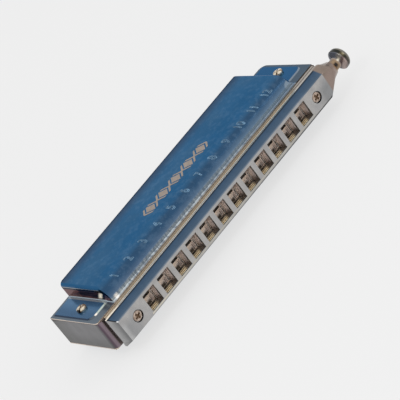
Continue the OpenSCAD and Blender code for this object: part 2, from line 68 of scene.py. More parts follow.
# %% Sizes and the hole frame
MM = 0.001
comb_low, comb_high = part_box("comb")
mouth_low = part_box("mouthpiece")[0]
HOLE_ORIGIN = Vector(((comb_low.x + comb_high.x) / 2, mouth_low.y, (comb_low.z + comb_high.z) / 2))
HOLES, PITCH = 12, 9.5
COMB_X = (comb_high.x - comb_low.x) / 2 / MM
COMB_Y = (comb_low.y - mouth_low.y) / MM
REAR_Y = (comb_high.y - mouth_low.y) / MM
COMB_TOP = (comb_high.z - comb_low.z) / 2 / MM
SHEET = 0.5
AXIS_Y = 6.075
HALF_ROW = HOLES * PITCH / 2


def spot(x, y, z):
    """A point of the hole frame, in millimetres, as a point of the row frame in metres."""
    return HOLE_ORIGIN + Vector((x, y, z)) * MM


def hole_x(i):
    return (i - (HOLES - 1) / 2) * PITCH


print("comb reaches", round(COMB_X, 2), "front", round(COMB_Y, 2), "rear", round(REAR_Y, 2))

# %% [markdown]
# ## Node trees as sums
# Shader and geometry trees are easier to read as formulas than as wires. `Sock` is one output
# socket that understands plus, minus, times and comparisons, and `Net` makes any other node
# from its type, its inputs and its settings. Colours are written as they look on screen.

# %% Node helpers
class Sock:
    """An output socket that can be used in a formula."""

    def __init__(self, net, socket):
        self.net, self.socket = net, socket

    def math(self, operation, *others):
        return self.net.math(operation, self, *others)

    def __add__(self, other): return self.math("ADD", other)
    def __sub__(self, other): return self.math("SUBTRACT", other)
    def __mul__(self, other): return self.math("MULTIPLY", other)
    def __truediv__(self, other): return self.math("DIVIDE", other)
    def __radd__(self, other): return self.net.math("ADD", other, self)
    def __rsub__(self, other): return self.net.math("SUBTRACT", other, self)
    def __rmul__(self, other): return self.net.math("MULTIPLY", other, self)
    def __abs__(self): return self.math("ABSOLUTE")
    def __lt__(self, other): return self.math("LESS_THAN", other)
    def __gt__(self, other): return self.math("GREATER_THAN", other)

    def smooth(self, low, high):
        """0 below low, 1 above high and a soft step between, for low above high too."""
        if low > high:
            return 1.0 - self.smooth(high, low)
        return self.net.node("ShaderNodeMapRange", {"Value": self, "From Min": low, "From Max": high},
                             interpolation_type="SMOOTHSTEP")

    def between(self, low, high, soft=0.1):
        """1 from low to high, with soft ends."""
        return self.smooth(low - soft, low + soft) * self.smooth(high + soft, high - soft)

    def ramp(self, low, high, first, last):
        """One colour below low, another above high and a blend between."""
        return self.net.mix(self.smooth(low, high), first, last)


class Net:
    """A node tree with one way to add nodes."""

    def __init__(self, tree):
        self.tree = tree

    def plug(self, socket, value):
        if isinstance(value, Sock):
            self.tree.links.new(value.socket, socket)
        else:
            socket.default_value = value

    def raw(self, kind, inputs=None, **settings):
        node = self.tree.nodes.new(kind)
        for key, value in settings.items():
            setattr(node, key, value)
        for key, value in (inputs or {}).items():
            self.plug(node.inputs[key], value)
        return node

    def node(self, kind, inputs=None, out=0, **settings):
        return Sock(self, self.raw(kind, inputs, **settings).outputs[out])

    def geo(self, kind, inputs=None, **settings):
        return self.node("GeometryNode" + kind, inputs, **settings)

    def math(self, operation, *values):
        return self.node("ShaderNodeMath", dict(enumerate(values)), operation=operation)

    def vector(self, x, y, z):
        return self.node("ShaderNodeCombineXYZ", {0: x, 1: y, 2: z})

    def split(self, vector):
        node = self.raw("ShaderNodeSeparateXYZ", {0: vector})
        return [Sock(self, out) for out in node.outputs]

    def mix(self, factor, *colours):
        """A blend of two colours, each a socket or three values from 0 to 255."""
        a, b = [c if isinstance(c, Sock) else tone(*c) for c in colours]
        return self.node("ShaderNodeMix", {0: factor, 6: a, 7: b}, out=2, data_type="RGBA")


def tone(red, green, blue):
    """A colour from 0 to 255 as it looks on screen, in Blender's linear values."""
    linear = [((v / 255 + 0.055) / 1.055) ** 2.4 if v > 10 else v / 255 / 12.92 for v in (red, green, blue)]
    return (*linear, 1.0)


print("helpers ready")

# %% [markdown]
# ## Finishes
# Polished plate has no colour of its own: on the real plate the faces that look up are deep blue, those that
# lean forward are slate, and the upright ones are grey, as they mirror the sky and the room. The finish paints
# these reflections in, choosing its tint from the direction each face looks, so the look stays the same in any
# light. Fine noise makes the polish slightly uneven, as handling does.

# %% Material builder
def place_of(net):
    """Where a point is, in millimetres of the hole frame."""
    point = net.node("ShaderNodeTexCoord", out="Object")
    return [(axis / MM) - HOLE_ORIGIN[k] / MM for k, axis in enumerate(net.split(point))]


def facing_of(net):
    return net.split(net.node("ShaderNodeTexCoord", out="Normal"))


def noise(net, scale, detail=3.0, stretch=(1, 1, 1)):
    """Noise from 0 to 1, with scale in lumps a millimetre."""
    x, y, z = place_of(net)
    where = net.vector(x * stretch[0], y * stretch[1], z * stretch[2])
    return net.node("ShaderNodeTexNoise", {"Vector": where, "Scale": scale, "Detail": detail})


LOOKS, UNEVEN = {}, 0.06


def finish(name, colour, metallic=1.0, rough=0.2, relief=0.0, grain=1.5,
           stretch=(1, 1, 1), shade=0.08, tint=None):
    """Keeps a material in LOOKS; colour and metallic may be functions of the net."""
    material = bpy.data.materials.new(name)
    material.use_nodes = True
    net = Net(material.node_tree)
    shader = net.tree.nodes["Principled BSDF"]
    cloud = noise(net, grain, stretch=stretch)
    base = colour(net) if callable(colour) else net.mix(0.0, colour, colour)
    darker = net.node("ShaderNodeHueSaturation", {"Value": 1.0 - shade, "Color": base})
    net.plug(shader.inputs["Base Color"], cloud.ramp(0.35, 0.65, base, darker))
    net.plug(shader.inputs["Roughness"], rough + UNEVEN * (cloud - 0.5))
    net.plug(shader.inputs["Metallic"], metallic(net) if callable(metallic) else metallic)
    if tint:
        shader.inputs["Specular Tint"].default_value = (*tint, 1.0)
    if relief:
        fine = noise(net, grain * 6.0, 4.0, stretch)
        bump = net.node("ShaderNodeBump", {"Strength": relief, "Distance": 0.02 * MM, "Height": fine})
        net.plug(shader.inputs["Normal"], bump)
    LOOKS[name] = material


def wear(piece, material):
    """Gives a piece its material, on every face."""
    piece.data.materials.clear()
    piece.data.materials.append(material)
    for face in piece.data.polygons:
        face.material_index = 0
    return piece


print("material builder ready")

# %% [markdown]
# ## Painting in layers
# A finish is painted like a model: a ground colour first, then one coat after another, each
# through a mask that is 1 where the coat shows. `layered` does that. The sizes below say where
# the masks lie; they are the sizes that the covers are pressed to further down.

# %% Layers and the sizes they follow
CROWN_LEFT, CROWN_RIGHT, CROWN_FOOT, EAR_FRONT = -62.35, 60.6, 9.4, 13.2
ROLL_R, RIGHT_LEAN = 6.0, 2.1
TOP_RISE, BOTTOM_RISE = 7.46, 6.1
CROWN_H = TOP_RISE - SHEET
FLANGE_TOP = COMB_TOP + SHEET
DEEP, PALER_BLUE, ROLL = (46, 89, 126), (62, 98, 130), (49, 78, 107)
SLATE, PANEL_BLUE, BROWN, DARK = (84, 93, 101), (44, 86, 124), (120, 80, 68), (12, 11, 12)


def layered(net, ground, *coats):
    """The ground colour under coats, each a mask and a colour."""
    for mask, colour in coats:
        ground = net.mix(mask, ground, colour)
    return ground


print("crown from", CROWN_LEFT, "to", CROWN_RIGHT, "and", round(CROWN_H, 2), "mm high")

# %% [markdown]
# ## Where the cover changes
# One sheet makes the crown, the ears and the flange, so masks have to tell them apart. The right end wall
# leans, and its mask leans with it. Metal that mirrors a dark neighbour turns black, so the flange, the roll's
# foot and the painted highlight patch on the left end wall are made less metallic.

# %% Cover zones
def cover_zones(net):
    """Masks for the ears and for the flange in front of the crown."""
    x, y, z = place_of(net)
    leaning = CROWN_RIGHT + 0.5 + RIGHT_LEAN * (1.0 - (abs(z) - FLANGE_TOP) / CROWN_H)
    ear = (x < CROWN_LEFT - 0.5) + (x > leaning)
    strip = (1.0 - ear) * y.smooth(CROWN_FOOT + 0.15, CROWN_FOOT - 0.15)
    return ear, strip


def end_lean(net):
    """A distance from the front that leans back with height."""
    x, y, z = place_of(net)
    return y + 0.95 * (abs(z) - FLANGE_TOP)


def end_glow(net):
    """The painted highlight patch near the front of a cover's end walls."""
    x, y, z = place_of(net)
    return end_lean(net).between(16.9, 19.5, 0.9) * (abs(z) - FLANGE_TOP).between(1.1, 4.3, 0.8)


def cover_metallic(net):
    ear, strip = cover_zones(net)
    nx, ny, nz = facing_of(net)
    x, y, z = place_of(net)
    foot = (ny < -0.7) * abs(nz).smooth(0.14, 0.04) * (abs(z) > FLANGE_TOP + 0.1)
    strip = strip.math("MAXIMUM", foot * (1.0 - ear))
    patch = (abs(nx) > 0.8) * (0.4 * (y > 30.0)).math("MAXIMUM", end_glow(net))
    return 1.0 - ear * (0.1 + 0.4 * (x < 0.0)) - 0.7 * strip - patch


print("cover zones ready")

# %% [markdown]
# ## The crown
# The flat top is a painted deep blue reflection, paler and cloudier towards the back. Down the roll it fades to
# slate, and painted highlights gather as small bright specks at the foot, most of all at the left. A white
# painted flash sits at the left end, and a rough lit strip runs along the flange in front. The rear edge is
# almost black.

# %% Crown colours
def crown_colour(net):
    x, y, z = place_of(net)
    up, level = abs(facing_of(net)[2]), abs(z) - FLANGE_TOP
    ear, strip = cover_zones(net)
    upright = x.ramp(-15, 45, (96, 121, 143), (114, 144, 168))
    foot = x.ramp(-50, 40, (88, 112, 140), (101, 127, 153))
    paleness = noise(net, 0.06, 4).smooth(0.4, 0.62) * 0.5 + y.smooth(17, 33) * 0.6
    top = net.mix(paleness.math("MINIMUM", 1), DEEP, PALER_BLUE)
    mottle = noise(net, 0.45, 4).smooth(0.45, 0.7) * 0.14 + noise(net, 1.3, 2).smooth(0.7, 0.76) * 0.3
    # Painted highlights: glints along the roll's foot, a soft patch at the right end, the lit flange strip and
    # a white flash at the left end.
    glint_noise = noise(net, 0.8, 3, (1, 0.4, 0.6))
    tall = 0.2 + 1 * x.smooth(-30, CROWN_LEFT)
    glint = (tall - level).smooth(-0.5, 0.9) * (0.25 + glint_noise.smooth(0.35, 0.7)) * x.smooth(60, -20)
    wide, high = (x - CROWN_RIGHT) / 2.6, (level - 1.6) / 1.8
    glint = glint + (wide * wide + high * high).smooth(1.2, 0.7) * 0.27
    lit = glint_noise.ramp(0.4, 0.6, (134, 142, 150), (190, 197, 200))
    flash = x.between(-60.6, -58.8, 0.6) * (y < 10.4) * level.smooth(2.2, 1)
    return layered(
        net, upright,
        (up.smooth(0.03, 0.12), foot),
        (up.smooth(0.12, 0.6), ROLL),
        (up.smooth(0.75, 0.97), top),
        (mottle, (120, 146, 170)),
        ((glint * (y < 12.5)).math("MINIMUM", 0.8), (204, 214, 216)),
        (strip, x.ramp(-20, 70, lit, (112, 126, 140))),
        (flash, (252, 250, 246)),
        (y.smooth(REAR_Y - 8, REAR_Y + 1.6), (66, 70, 84)),
        (y.smooth(REAR_Y - 1.3, REAR_Y - 0.3) * 0.85, (30, 40, 52)))


print("crown colours ready")

# %% [markdown]
# ## The ears
# Each ear is a slate border around a raised blue panel. The panel's slopes carry a painted highlight in front
# and painted shade behind, which is what makes a rise of half a millimetre visible.

# %% Ear colours
def ear_colour(net):
    x, y, z = place_of(net)
    nx, ny, nz = facing_of(net)
    # The front slope's cream lines are a painted highlight and the back slope's dark blue is painted shade. The
    # left panel is painted lighter near the crown's wall to offset the darkness near the wall.
    front = layered(
        net, SLATE,
        (x.smooth(-70.8, -69.8), (190, 200, 190)),
        (x.between(-70.4, -69.2, 0.3), (255, 244, 232)),
        (x > 0, (126, 138, 150)))
    slope = net.mix(ny < -0.2, (30, 44, 64), front)
    flat = x.ramp(-71, -65, (44, 80, 112), (68, 106, 140))
    flat = net.mix(x > 0, flat, PANEL_BLUE)
    border = (abs(z) - FLANGE_TOP).ramp(0.15, 0.3, SLATE, flat)
    return abs(nz).ramp(0.99, 0.94, border, slope)


print("ear colours ready")

# %% [markdown]
# ## The crown's end walls
# The left end wall is painted with the reflection of the ear in front of it: brown and black bands, a bright
# line under the upper edge and one painted highlight patch. `drop` is the distance below that edge, which
# follows the roll at the front. The right wall is blue and darker towards the bottom.

# %% End wall colours and the whole cover
def end_wall_colour(net):
    x, y, z = place_of(net)
    level = abs(z) - FLANGE_TOP
    ahead = (CROWN_FOOT + ROLL_R - y).math("MAXIMUM", 0)
    rim = (ROLL_R * ROLL_R - ahead * ahead).math("MAXIMUM", 0).math("SQRT") - ROLL_R
    drop = rim + (BOTTOM_RISE - SHEET) + (TOP_RISE - BOTTOM_RISE) * (z > 0) - level
    behind = y.smooth(13.4, 14.8)
    gloom = noise(net, 0.8, 3, (1, 0.12, 1)).ramp(0.45, 0.7, (78, 40, 6), (170, 96, 74))
    lean = end_lean(net)
    right = level.ramp(0, 5, (40, 60, 84), (84, 108, 134))
    # These bands and lines are painted reflections, and the cream patch is a painted highlight.
    return layered(
        net, BROWN,
        (level.between(0.9, 4.2, 0.4) * y.between(14, 33, 2), gloom),
        (lean.smooth(16.8, 16.2), lean.ramp(15.6, 15, DARK, (150, 104, 98))),
        (end_glow(net), (240, 228, 204)),
        (drop.smooth(2.5, 2.1), DARK),
        (drop.between(1.3, 1.55, 0.12) * behind, (196, 192, 188)),
        (drop.smooth(1.3, 1.15) * behind, DEEP),
        (x > 0, right))


def cover_colour(net):
    x, y, z = place_of(net)
    nx, ny, nz = facing_of(net)
    ear, strip = cover_zones(net)
    level = abs(z) - FLANGE_TOP
    band = x.between(CROWN_LEFT - 1.4, CROWN_LEFT + 0.05, 0.15) * level.smooth(0.9, 0.6) * (level > 0)
    # The sheet's cut edge is painted as a bright highlight line, duller to the right.
    cut_edge = x.ramp(20, 50, (204, 188, 172), (146, 142, 134))
    return layered(
        net, crown_colour(net),
        (ear, ear_colour(net)),
        (band, (150, 160, 166)),
        (abs(nx).smooth(0.25, 0.4) * level.smooth(1, 2), DEEP),
        (abs(nx).smooth(0.8, 0.9) * level.smooth(0.2, 0.5), end_wall_colour(net)),
        (abs(nz).smooth(0.5, 0.2) * (level < 0), cut_edge))


print("cover colours ready")

# %% [markdown]
# ## The mouthpiece's outside
# The lip face is brushed grey, a little darker to the right, with a bright line under the holes and a dark
# lower edge; its left end face carries painted shade that deepens towards the front. The bevels look up, so
# they are painted with the blue they mirror. They are lighter at their front edge and have a painted shadow
# line at their back, and the narrow land behind them is warm. The nose is brownish, darker higher up, with a
# gold patch at the collar's end.

# %% Mouthpiece outside
LIP_LEFT, LIP_RIGHT = -70.5, 70.1


def lip_colour(net):
    x, y, z = place_of(net)
    nx, ny, nz = facing_of(net)
    low = z.smooth(4.5, 0)
    bright = z.between(-4.75, -4.25) * (abs(x) < HALF_ROW - 0.5) * (ny < -0.9)
    under = z.smooth(-5.05, -5.25) * (0.25 + 0.75 * x.smooth(-60, 50))
    return layered(
        net, noise(net, 0.2, 2).ramp(0.3, 0.7, (171, 170, 170), (182, 180, 178)),
        (x.smooth(-60, -66) * low, (160, 160, 161)),
        (x.smooth(60, 68) * low, (148, 149, 150)),
        (x.smooth(-67.8, -70) * low, (184, 184, 184)),
        ((nx < -0.8) * (x < -69), y.ramp(0.2, 3.8, (124, 124, 125), (164, 164, 164))),
        (bright, x.ramp(-50, -20, (218, 211, 194), (190, 186, 176))),
        (under, (78, 78, 78)))


def bevel_colour(net):
    x, y, z = place_of(net)
    # At the left tip the bevel is painted with a white highlight at the front and dark shade behind it.
    tip = x - LIP_LEFT + 0.38 * y
    return layered(
        net, y.ramp(0.8, 3.6, (74, 93, 113), (62, 83, 106)),
        (y.smooth(0.9, -0.3) * (0.3 + 0.7 * x.smooth(64, 52)), (140, 147, 156)),
        (y.smooth(3.3, 3.9), (42, 52, 64)),
        (tip.smooth(0.7, 0.3), y.ramp(0.9, 0.5, (36, 38, 42), (250, 250, 250))))


print("lip from", LIP_LEFT, "to", LIP_RIGHT)

# %% [markdown]
# ## Inside the mouth holes
# The holes are warm in tone inside: a cream floor with darker stripes, painted shadow to one side and painted
# shade deep in, side walls painted lighter with depth and darker low down, and faint streaks from the tool that
# cut them. `across_hole` gives the same number in every hole, so one set of masks serves all twelve.

# %% Mouthpiece inside
def across_hole(x):
    """Distance from the middle of the nearest hole."""
    return ((x / PITCH).math("FRACT") - 0.5) * PITCH


def inside_holes(net):
    x, y, z = place_of(net)
    return y.smooth(0.35, 0.6) * (abs(z) < 4.2) * (abs(x) < HALF_ROW)


def hole_colour(net):
    x, y, z = place_of(net)
    # Painted light and shade: the walls grow lighter with depth and darker low down, and the floor is shaded to
    # one side and deep in.
    deep = y.smooth(2, 4.5)
    light, gloom = net.mix(deep, (222, 206, 200), (255, 240, 228)), net.mix(deep, (90, 80, 74), (176, 156, 146))
    drawn = noise(net, 1, 3, (0.4, 1.8, 0.12)).smooth(0.45, 0.62)
    side = layered(
        net, z.ramp(-1, -3.6, light, gloom),
        (z.smooth(0, 1.8) * deep, (186, 166, 158)),
        (drawn * 0.35, (126, 106, 96)),
        (y.smooth(1.6, 0.8), z.ramp(1, -2, (96, 92, 86), (72, 68, 62))))
    stripe = (y * 0.75).math("FRACT").between(0.3, 0.8, 0.15)
    sole = layered(
        net, net.mix(stripe, (158, 128, 82), (255, 242, 206)),
        ((across_hole(x) - 0.42 * y).smooth(-0.6, 1), (92, 82, 72)),
        (y.smooth(3.2, 4.2), (70, 62, 54)))
    return facing_of(net)[2].ramp(0.5, 0.9, side, sole)


def mouth_colour(net):
    x, y, z = place_of(net)
    up = abs(facing_of(net)[2])
    land = layered(
        net, x.ramp(30, 5, (232, 220, 198), (248, 236, 218)),
        (x.smooth(54, 62), (180, 175, 168)))
    nose = z.ramp(2, 5, (150, 133, 124), (136, 122, 112))
    return layered(
        net, lip_colour(net),
        (up.smooth(0.3, 0.7), bevel_colour(net)),
        (y.smooth(4.2, 4.5) * up.smooth(0.85, 0.97), land),
        (x.smooth(LIP_RIGHT, LIP_RIGHT + 0.8), nose),
        (x.smooth(79, 79.7) * z.between(-1.6, 1.8, 0.6) * (y < 5), (150, 116, 78)),
        (inside_holes(net), hole_colour(net)))


def mouth_metallic(net):
    x, y, z = place_of(net)
    return 1 - 0.7 * inside_holes(net) - 0.7 * x.smooth(77, 78.6)


print("mouthpiece colours ready")

# %% [markdown]
# ## The comb and the button
# The comb shows only its ends: grey, with a painted brown and mauve reflection around the front corners and
# painted shade inside. The button is turned and bright, and its dark and light bands are painted reflections.
# It has a painted highlight on the bell and painted shade where the stem enters the collar; `across` runs over
# it from left to right as the camera sees it.

# %% Comb and button
CAMERA_SIDE_Y, CAMERA_SIDE_Z = -0.604, -0.546


def comb_colour(net):
    x, y, z = place_of(net)
    turn, front = abs(facing_of(net)[0]), y < 12
    # The front-corner bands are painted reflections, and the near black over the cells is painted shade.
    return layered(
        net, z.ramp(-6, 1, (94, 93, 94), (112, 111, 113)),
        (y.smooth(28, 40) * 0.8, (90, 90, 89)),
        (abs(z).smooth(6.2, 6.7), (70, 62, 60)),
        (z.smooth(5.2, 6.2) * y.smooth(36, 40), (52, 46, 44)),
        (turn.smooth(0.97, 0.85) * front, (98, 84, 94)),
        (turn.smooth(0.8, 0.6) * front, (132, 118, 126)),
        (turn.smooth(0.36, 0.2) * front, (104, 94, 92)),
        ((abs(x) < HALF_ROW + 1) * y.between(COMB_Y + 0.1, REAR_Y - 1.5), (20, 18, 17)))


def button_colour(net):
    x, y, z = place_of(net)
    across = CAMERA_SIDE_Y * (y - AXIS_Y) + CAMERA_SIDE_Z * z
    # All of these bands are painted light: reflections that follow `across`, a painted highlight on the bell
    # and painted shade on the stem where it enters the collar.
    stem = layered(
        net, across.ramp(-2, 0, (112, 102, 96), (146, 122, 94)),
        (x.smooth(82.2, 83.2), (164, 148, 136)),
        (across.between(0.4, 1.7, 0.35) * x.smooth(82.3, 81.5), (26, 16, 10)))
    bell = layered(
        net, across.ramp(-1.4, 0.4, (92, 96, 106), (134, 130, 124)),
        (across.smooth(1, 1.5), (104, 88, 86)),
        (across.smooth(1.9, 2.5), (160, 142, 136)),
        (across.smooth(3.2, 4.2), (108, 100, 98)))
    outer = layered(
        net, net.mix(across.between(0, 1.9, 0.6), (44, 46, 42), (84, 78, 60)),
        (across.smooth(2, 3), (80, 75, 70)),
        (x.smooth(85.9, 86.6), (122, 118, 108)))
    return layered(
        net, stem,
        (x.smooth(82.9, 83.5), bell),
        (across.between(0.2, 0.9, 0.3) * x.between(82.9, 83.9, 0.3), (250, 240, 218)),
        ((x - 0.07 * across).smooth(84.66, 84.8), outer))


def button_metallic(net):
    x, y, z = place_of(net)
    return 0.35 + 0.6 * x.smooth(84.5, 85.2)


print("comb and button colours ready")

# %% [markdown]
# ## The slide and the screws
# The slide is seen through the holes: the bar between its upper and lower windows is painted as a black line of
# shade. Each hole also shows painted shadow low down and a painted light band beside its right wall. The
# slide's edges show as a warm line behind the mouthpiece, and the stack's ends are painted light in front and
# dark with the shade of the gap behind. The screws are patchy and brown in their slots, and the left cover
# screw has a painted shadow at the edge of its head.

# %% Slide and screws
SCREW_X = 62.1


def slide_colour(net):
    x, y, z = place_of(net)
    nx, ny, nz = facing_of(net)
    across = across_hole(x)
    # The stack's ends are painted light at the front and near black behind, where the gap's shade falls.
    edge = layered(
        net, y.ramp(5.9, 6.6, (212, 200, 180), (166, 148, 124)),
        (x.smooth(54, 62), (150, 142, 134)),
        (abs(nx) > 0.8, y.ramp(6.2, 6.6, (244, 244, 244), (16, 15, 14))))
    right = z.ramp(-0.6, 0.4, (255, 242, 232), (180, 162, 150))
    # The face seen in the holes is painted with light and shade: painted shadow low down, a painted light band
    # by each hole's right wall and a black line of shade across the middle bar.
    face = layered(
        net, z.ramp(-1.2, -2.2, (248, 228, 210), (255, 240, 230)),
        (z.smooth(-1.8, -3) * across.smooth(2, 0.9), (91, 82, 74)),
        (across.smooth(2, 2.2) * z.smooth(-0.4, -1.4), (222, 204, 194)),
        (across.smooth(2.7, 2.9), right),
        (across.between(1.7, 1.95, 0.1) * z.smooth(-1, -1.8), (90, 74, 68)),
        (abs(z).smooth(0.5, 0.4) * across.between(-0.9, 2.9, 0.1), (6, 5, 5)))
    return net.mix((ny < -0.5) * (abs(z) < 4.5) * (abs(x) < HALF_ROW + 1), edge, face)


def screw_colour(net):
    """Light on the head's face and brown in its recess."""
    x, y, z = place_of(net)
    aside = abs(x) - SCREW_X
    cross = y.smooth(0.45, 0.6) * (y < 1.2) * (aside * aside + z * z < 3.4)
    head = noise(net, 0.9, 2).ramp(0.35, 0.65, (190, 172, 158), (150, 130, 114))
    return net.mix(cross, head, (100, 76, 54))


def cover_screw_colour(net):
    x, y, z = place_of(net)
    head = noise(net, 0.7, 2).ramp(0.4, 0.62, (226, 214, 192), (128, 104, 82))
    # A painted shadow darkens the left edge of the left screw's head.
    return net.mix(x.between(-70.6, -69.8, 0.25) * y.between(23, 24.9, 0.3), head, (14, 18, 22))


print("mouthpiece screws at", SCREW_X, "mm from the middle")

# %% [markdown]
# ## The finishes by name
# The names are the material slots of the construction model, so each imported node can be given
# its finish by looking its slot up. Three more finishes belong to pieces that the scene adds.

# %% Finishes for every slot
finish("cover_metal", cover_colour, cover_metallic, rough=0.2, grain=0.12, relief=0.05,
       tint=(0.5, 0.62, 0.78))
finish("mouthpiece_metal", mouth_colour, mouth_metallic, rough=0.24, grain=0.3, relief=0.05)
finish("nickel_block", comb_colour, rough=0.3, grain=0.2, relief=0.08)
finish("button_metal", button_colour, button_metallic, rough=0.18, grain=0.5)
finish("slide_metal", slide_colour, 0.35, rough=0.32, grain=0.8, stretch=(0.1, 1, 1), relief=0.1)
finish("brass_plate", (198, 164, 96), rough=0.34, grain=1.2,
       stretch=(0.08, 1, 1), relief=0.15, shade=0.15)
finish("reed_brass", (214, 182, 112), rough=0.26, grain=2.0,
       stretch=(1, 0.1, 1), relief=0.12, shade=0.12)
finish("rivet_brass", (186, 150, 88), rough=0.3, grain=3.0)
finish("valve_film", (226, 222, 208), metallic=0.0, rough=0.55, grain=1.5)
finish("steel_screw", (170, 168, 164), rough=0.28, grain=2.0, relief=0.1)
finish("warm_screw", cover_screw_colour, 0.8, rough=0.24, grain=1.0, shade=0.2)
finish("spring_wire", (130, 126, 122), rough=0.3, grain=3.0)
finish("buffer_rubber", (40, 38, 36), metallic=0.0, rough=0.7, grain=2.0)
finish("mouth_screw", screw_colour, 0.5, rough=0.3, grain=2.0)
finish("number_edge", (112, 148, 176), 0.6, rough=0.3, grain=0.6, shade=0.45)
finish("ornament_print", (138, 126, 116), metallic=0.0, rough=0.6, grain=0.8, shade=0.15)

slot_of = {part["node"]: part["material_slot"] for part in frame["record"]["subparts"]}
for name, node in frame["nodes"].items():
    wear(node, LOOKS[slot_of[name]])
print("finishes", len(bpy.data.materials))

# %% [markdown]
# ## Making a piece
# A piece is a mesh whose object stays at the origin, rides on one body of the construction model and wears the
# finish of its material slot unless another look is named. `solid` collects the common last steps, and `carve`
# runs a list of boolean cuts and a bevel, then keeps only the finished mesh.

# %% Piece helpers
def placed(name, data):
    """A new object in the scene."""
    piece = bpy.data.objects.new(name, data)
    bpy.context.scene.collection.objects.link(piece)
    return piece


def solid(name, mesh, slot, body="harmonica", stands_for=(), look=None, smooth=30):
    """Links a mesh as a finished piece; its look is its slot's unless named."""
    piece = placed(name, mesh)
    mesh.name = name
    mesh.shade_smooth()
    mesh.set_sharp_from_angle(angle=radians(smooth))
    wear(piece, LOOKS[look or slot])
    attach(piece, body)
    if stands_for:
        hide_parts(*stands_for)
    print(name, "faces", len(mesh.polygons))
    return piece


def mesh_from(points, faces):
    """A mesh from points of the hole frame."""
    mesh = bpy.data.meshes.new("work")
    mesh.from_pydata([spot(*p) for p in points], [], faces)
    mesh.validate()
    return mesh


def filled(mesh, work):
    """Writes a work mesh into a mesh and frees it."""
    work.to_mesh(mesh)
    work.free()
    return mesh


def baked(piece, *others):
    """The mesh that a piece's modifiers make; the objects are removed."""
    seen = bpy.context.evaluated_depsgraph_get()
    mesh = bpy.data.meshes.new_from_object(piece.evaluated_get(seen))
    for thing in (piece, *others):
        bpy.data.objects.remove(thing)
    return mesh


def hull_mesh(points):
    """The convex hull of points of the hole frame."""
    work = bmesh.new()
    for p in points:
        work.verts.new(spot(*p))
    bmesh.ops.convex_hull(work, input=work.verts)
    bmesh.ops.recalc_face_normals(work, faces=work.faces)
    return filled(bpy.data.meshes.new("work"), work)


def block_mesh(low, high):
    xs, ys, zs = zip(low, high)
    return hull_mesh([(x, y, z) for x in xs for y in ys for z in zs])


def ring(centre, radius, axis, sides=48):
    """Points of a circle about a point, across an axis."""
    points = []
    for k in range(sides):
        a, b = radius * cos(2 * pi * k / sides), radius * sin(2 * pi * k / sides)
        step = {"x": (0, a, b), "y": (a, 0, b), "z": (a, b, 0)}[axis]
        points.append(tuple(c + s for c, s in zip(centre, step)))
    return points


def drum_mesh(start, end, radius, axis):
    return hull_mesh(ring(start, radius, axis) + ring(end, radius, axis))


def joined(meshes):
    """Several meshes as one, without mending anything between them."""
    work = bmesh.new()
    for mesh in meshes:
        work.from_mesh(mesh)
    return filled(bpy.data.meshes.new("work"), work)


def carve(base, add=(), cut=(), bevel=0):
    """The base with meshes joined on and cut out of it, and its edges softened."""
    piece, others = placed("base", base), []
    for operation, group in (("UNION", add), ("DIFFERENCE", cut)):
        for mesh in group:
            others.append(placed("tool", mesh))
            step = piece.modifiers.new("step", "BOOLEAN")
            step.operation, step.object, step.solver = operation, others[-1], "EXACT"
    if bevel:
        soft = piece.modifiers.new("soft", "BEVEL")
        soft.width, soft.segments = bevel * MM, 2
        soft.limit_method, soft.angle_limit = "ANGLE", radians(28)
    return baked(piece, *others)


print("piece helpers ready")

# %% [markdown]
# ## The pressed covers
# A cover is one sheet drawn up into a crown, with a flat ear at each end. It is made as a grid:
# every column knows how high the end walls let it stand, every row knows the same for the
# front roll, and the lower of the two wins. First come the heights and outlines it asks for.

# %% Cover profile
END_R, RIGHT_R, FOOT_R, REAR_R = 1.7, 0.9, 0.5, 0.9
PANEL, PANEL_BORDER, PANEL_R = 0.45, 1.4, 3
CORNER_FRONT, CORNER_REAR, FLANGE_FRONT = 2.8, 3.4, 0.95
REAR_LIP = 1


def wall_profile(height, radius, foot, steps=10):
    """Pairs of distance out from the wall and height, from the flange up to the flat top."""
    base = height - radius
    start = asin(max(0, (foot - base) / radius)) if base < foot else 0
    out = -radius + radius * cos(start)
    low, high = np.linspace(1.5 * pi, pi, steps // 2 + 1), np.linspace(start, pi / 2, steps + 1)
    return [(out + foot + foot * cos(a), foot + foot * sin(a)) for a in low] + [
        (radius * cos(a) - radius, base + radius * sin(a)) for a in high]


def ear_rise(x, y):
    """Height of the raised ear panel at a point, 0 at its border."""
    dx = COMB_X - PANEL_BORDER - abs(x)
    dy = y - EAR_FRONT
    if dx < PANEL_R and dy < PANEL_R:
        inside = PANEL_R - hypot(PANEL_R - dx, PANEL_R - dy)
    else:
        inside = min(dx, dy)
    inside = min(inside, REAR_Y - PANEL_BORDER - y)
    t = min(1, max(0, inside / 0.6 + 0.3))
    return PANEL * t * t * (3 - 2 * t)


def drawn_in(radius, over):
    """How far a rounded corner draws back, past the start of its curve by over."""
    return radius - sqrt(max(0, radius ** 2 - max(0, over) ** 2))


def ear_edge(side, y):
    """Where the ear ends, with the comb's rounded corners: left in front and right behind."""
    if side < 0:
        return drawn_in(CORNER_FRONT, CORNER_FRONT - y + COMB_Y) - COMB_X
    return COMB_X - drawn_in(CORNER_REAR, CORNER_REAR - REAR_Y + y)


def rear_inset(x, y):
    """How far the crown's rear corners are drawn in, fading out over the flat top."""
    fade = max(0, 1 - max(0, x - CROWN_LEFT) / 12) - 0.3 * max(0, 1 - max(0, CROWN_RIGHT - x) / 12)
    return fade * drawn_in(REAR_R, y - REAR_Y + REAR_R)


print("roll", ROLL_R, "mm in front,", REAR_R, "mm behind")

# %% [markdown]
# ## The sheet
# Rows and columns crowd together at the walls, so the rolls stay round without wasting faces on
# the flat top. The right end wall leans: its columns stand further out the lower they are.
# Solidify then gives the sheet its thickness, and a folded lip stiffens the open rear.

